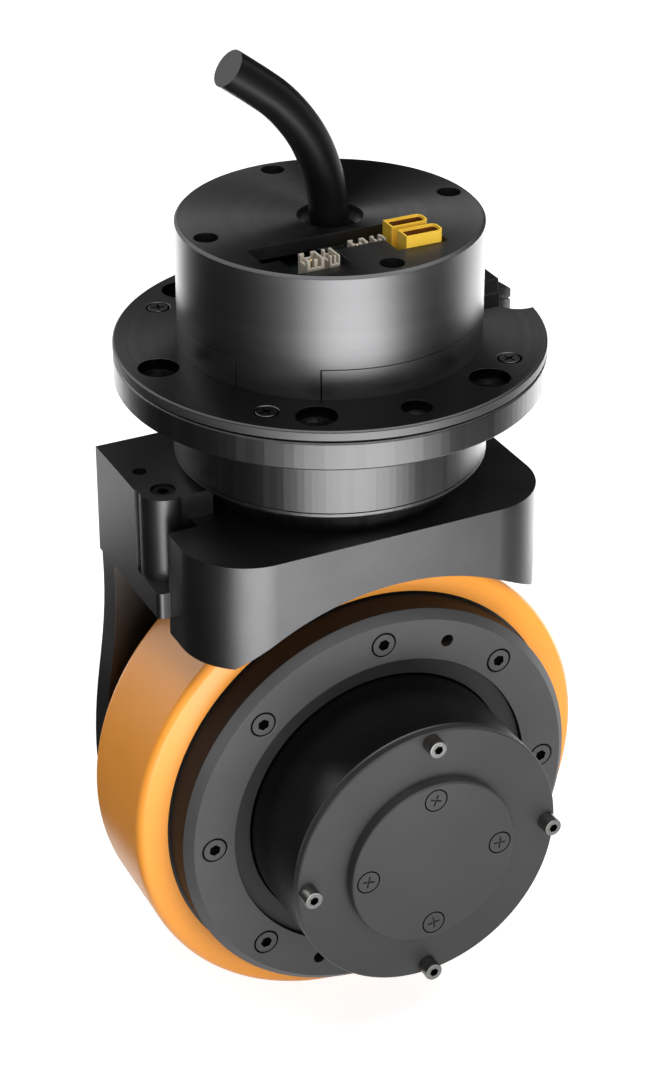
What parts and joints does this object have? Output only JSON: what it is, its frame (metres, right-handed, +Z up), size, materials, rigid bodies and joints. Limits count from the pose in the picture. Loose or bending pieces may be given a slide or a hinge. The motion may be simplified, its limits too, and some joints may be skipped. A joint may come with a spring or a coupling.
{
  "type": "steerable drive wheel unit",
  "caption": "Steerable drive wheel: geared steering motor on a round flange, yoke below it, and a wheel with a geared motor in its hub.",
  "frame": {"origin": "centre of the underside of the mounting flange, on the steering axis", "axes": "+Z up the steering axis, axle along Y, motor side of the wheel towards -Y"},
  "size_m": [0.1506, 0.1354, 0.3104],
  "materials": {
    "casing": "satin black anodised",
    "motor_base_ring": "satin black anodised",
    "flange_cover": "satin black anodised",
    "bearing_housing": "satin black anodised",
    "bearing_retainer": "satin black anodised",
    "casing_screws": "black oxide",
    "flange_screws": "black oxide",
    "hollow_shaft": "satin anodised",
    "steer_stator": "laminated core with coils",
    "controller_board": "solder mask",
    "power_connectors": "moulded",
    "signal_connectors": "moulded",
    "sensor_block": "matte",
    "steer_ring_gear": "ground",
    "crossed_bearing_outer": "ground",
    "bearing_rollers": "polished",
    "steer_rotor_bearings": "ground",
    "cable_grommet": "matte",
    "cable": "matte",
    "steer_rotor_hub": "machined",
    "steer_magnets": "nickel plated",
    "steer_sun_gear": "ground",
    "steer_planet_1": "ground",
    "steer_planet_2": "ground",
    "steer_planet_3": "ground",
    "output_flange": "black oxide",
    "planet_carrier": "machined",
    "steer_planet_pins": "ground",
    "crossed_bearing_inner": "ground",
    "yoke_bridge": "satin black anodised",
    "yoke_arm": "satin black anodised",
    "yoke_screws": "black oxide",
    "yoke_dowels": "ground",
    "motor_housing": "satin black anodised",
    "motor_cap": "satin black anodised",
    "encoder_cover": "satin black anodised",
    "cap_screws": "stainless",
    "encoder_cover_screws": "black oxide",
    "drive_stator": "laminated core with coils",
    "drive_shaft_bearings": "ground",
    "drive_carrier": "machined",
    "drive_planet_pins": "ground",
    "carrier_bolts": "black oxide",
    "rear_cover": "satin black anodised",
    "wheel_bearing_inner_rings": "ground",
    "tyre": "cast polyurethane",
    "wheel_rim": "anodised",
    "front_ring": "satin black anodised",
    "ring_screws": "black oxide",
    "drive_ring_gear": "ground",
    "wheel_bearing_outer_rings": "ground",
    "dust_seal": "matte",
    "wheel_rear_cover": "satin black anodised",
    "drive_rotor": "machined",
    "drive_magnets": "nickel plated",
    "drive_sun_gear": "ground",
    "drive_planet_1": "ground",
    "drive_planet_2": "ground",
    "drive_planet_3": "ground"
  },
  "bodies": {
    "base": {"casing": "casing", "motor_base_ring": "motor_base_ring", "flange_cover": "flange_cover", "bearing_housing": "bearing_housing", "bearing_retainer": "bearing_retainer", "casing_screws": "casing_screws", "flange_screws": "flange_screws", "hollow_shaft": "hollow_shaft", "steer_stator": "steer_stator", "controller_board": "controller_board", "power_connectors": "power_connectors", "signal_connectors": "signal_connectors", "sensor_block": "sensor_block", "steer_ring_gear": "steer_ring_gear", "crossed_bearing_outer": "crossed_bearing_outer", "bearing_rollers": "bearing_rollers", "steer_rotor_bearings": "steer_rotor_bearings", "cable_grommet": "cable_grommet", "cable": "cable"},
    "steer_rotor": {"steer_rotor_hub": "steer_rotor_hub", "steer_magnets": "steer_magnets", "steer_sun_gear": "steer_sun_gear"},
    "steer_planet_1": {"steer_planet_1": "steer_planet_1"},
    "steer_planet_2": {"steer_planet_2": "steer_planet_2"},
    "steer_planet_3": {"steer_planet_3": "steer_planet_3"},
    "fork": {"output_flange": "output_flange", "planet_carrier": "planet_carrier", "steer_planet_pins": "steer_planet_pins", "crossed_bearing_inner": "crossed_bearing_inner", "yoke_bridge": "yoke_bridge", "yoke_arm": "yoke_arm", "yoke_screws": "yoke_screws", "yoke_dowels": "yoke_dowels", "motor_housing": "motor_housing", "motor_cap": "motor_cap", "encoder_cover": "encoder_cover", "cap_screws": "cap_screws", "encoder_cover_screws": "encoder_cover_screws", "drive_stator": "drive_stator", "drive_shaft_bearings": "drive_shaft_bearings", "drive_carrier": "drive_carrier", "drive_planet_pins": "drive_planet_pins", "carrier_bolts": "carrier_bolts", "rear_cover": "rear_cover", "wheel_bearing_inner_rings": "wheel_bearing_inner_rings"},
    "wheel": {"tyre": "tyre", "wheel_rim": "wheel_rim", "front_ring": "front_ring", "ring_screws": "ring_screws", "drive_ring_gear": "drive_ring_gear", "wheel_bearing_outer_rings": "wheel_bearing_outer_rings", "dust_seal": "dust_seal", "wheel_rear_cover": "wheel_rear_cover"},
    "drive_rotor": {"drive_rotor": "drive_rotor", "drive_magnets": "drive_magnets", "drive_sun_gear": "drive_sun_gear"},
    "drive_planet_1": {"drive_planet_1": "drive_planet_1"},
    "drive_planet_2": {"drive_planet_2": "drive_planet_2"},
    "drive_planet_3": {"drive_planet_3": "drive_planet_3"}
  },
  "joints": [
    {"name": "steer_yaw", "type": "hinge", "parent": "base", "child": "fork", "pos_m": [0, 0, 0], "axis": [0, 0, 1], "range_deg": [-120, 120]},
    {"name": "steer_rotor_spin", "type": "hinge", "parent": "base", "child": "steer_rotor", "pos_m": [0, 0, 0], "axis": [0, 0, 1], "range_deg": [-441, 441]},
    {"name": "steer_planet_1_spin", "type": "hinge", "parent": "fork", "child": "steer_planet_1", "pos_m": [0.02475, 0, 0], "axis": [0, 0, 1], "range_deg": [-385, 385]},
    {"name": "steer_planet_2_spin", "type": "hinge", "parent": "fork", "child": "steer_planet_2", "pos_m": [-0.01238, 0.02143, 0], "axis": [0, 0, 1], "range_deg": [-385, 385]},
    {"name": "steer_planet_3_spin", "type": "hinge", "parent": "fork", "child": "steer_planet_3", "pos_m": [-0.01238, -0.02143, 0], "axis": [0, 0, 1], "range_deg": [-385, 385]},
    {"name": "wheel_roll", "type": "hinge", "parent": "fork", "child": "wheel", "pos_m": [0, 0, -0.13154], "axis": [0, 1, 0], "continuous": true},
    {"name": "drive_rotor_spin", "type": "hinge", "parent": "fork", "child": "drive_rotor", "pos_m": [0, 0, -0.13154], "axis": [0, 1, 0], "continuous": true},
    {"name": "drive_planet_1_spin", "type": "hinge", "parent": "fork", "child": "drive_planet_1", "pos_m": [0.027, 0, -0.13154], "axis": [0, 1, 0], "continuous": true},
    {"name": "drive_planet_2_spin", "type": "hinge", "parent": "fork", "child": "drive_planet_2", "pos_m": [-0.0135, 0, -0.10816], "axis": [0, 1, 0], "continuous": true},
    {"name": "drive_planet_3_spin", "type": "hinge", "parent": "fork", "child": "drive_planet_3", "pos_m": [-0.0135, 0, -0.15492], "axis": [0, 1, 0], "continuous": true}
  ],
  "couplings": [
    {"joint": "steer_rotor_spin", "follows": "steer_yaw", "ratio": 3.6667},
    {"joint": "steer_planet_1_spin", "follows": "steer_yaw", "ratio": -3.2},
    {"joint": "steer_planet_2_spin", "follows": "steer_yaw", "ratio": -3.2},
    {"joint": "steer_planet_3_spin", "follows": "steer_yaw", "ratio": -3.2},
    {"joint": "drive_rotor_spin", "follows": "wheel_roll", "ratio": -5},
    {"joint": "drive_planet_1_spin", "follows": "wheel_roll", "ratio": 2.5},
    {"joint": "drive_planet_2_spin", "follows": "wheel_roll", "ratio": 2.5},
    {"joint": "drive_planet_3_spin", "follows": "wheel_roll", "ratio": 2.5}
  ]
}
